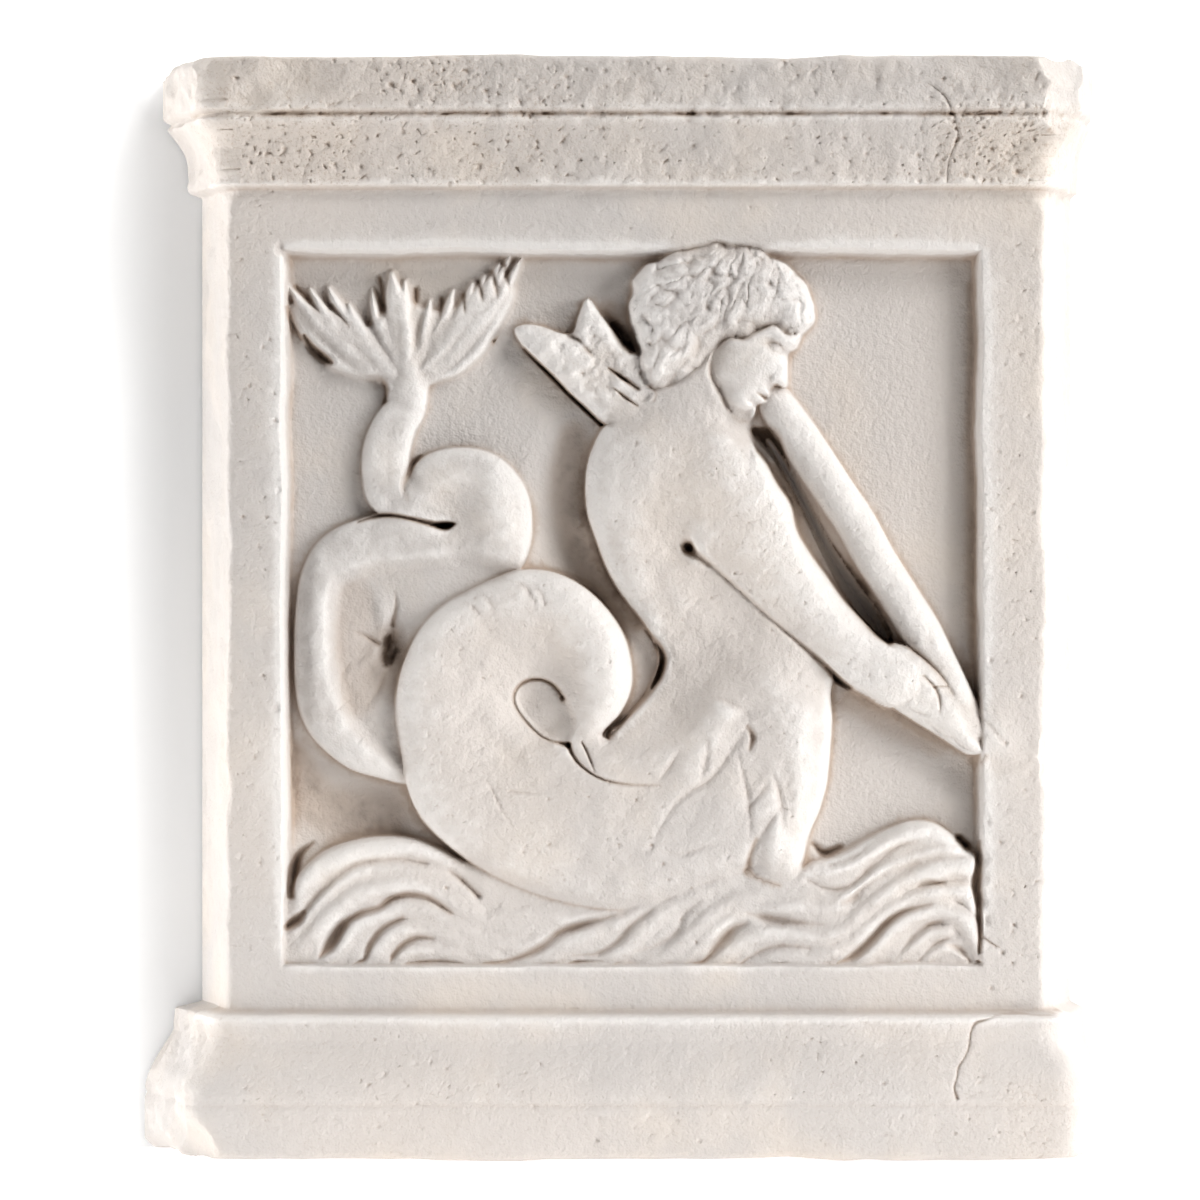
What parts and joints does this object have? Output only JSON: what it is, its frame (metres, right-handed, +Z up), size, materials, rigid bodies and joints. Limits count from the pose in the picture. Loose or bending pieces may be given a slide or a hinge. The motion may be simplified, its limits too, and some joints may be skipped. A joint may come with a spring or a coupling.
{
  "type": "marble relief plaque",
  "caption": "Moulded marble wall plaque with a sunk panel, carved in low relief with a coiled sea creature over waves.",
  "frame": {"origin": "middle of the flat back, where the plaque meets the wall", "axes": "+Y out of the back into the wall, +Z up, +X to the right as the front is seen, which faces -Y"},
  "size_m": [0.2909, 0.051, 0.33],
  "materials": {
    "marble": "aged white marble, matt, softly worn edges, fine pits in the mouldings, brown dirt in the deep cuts"
  },
  "bodies": {
    "root": {"relief_plaque": "marble"}
  },
  "joints": []
}
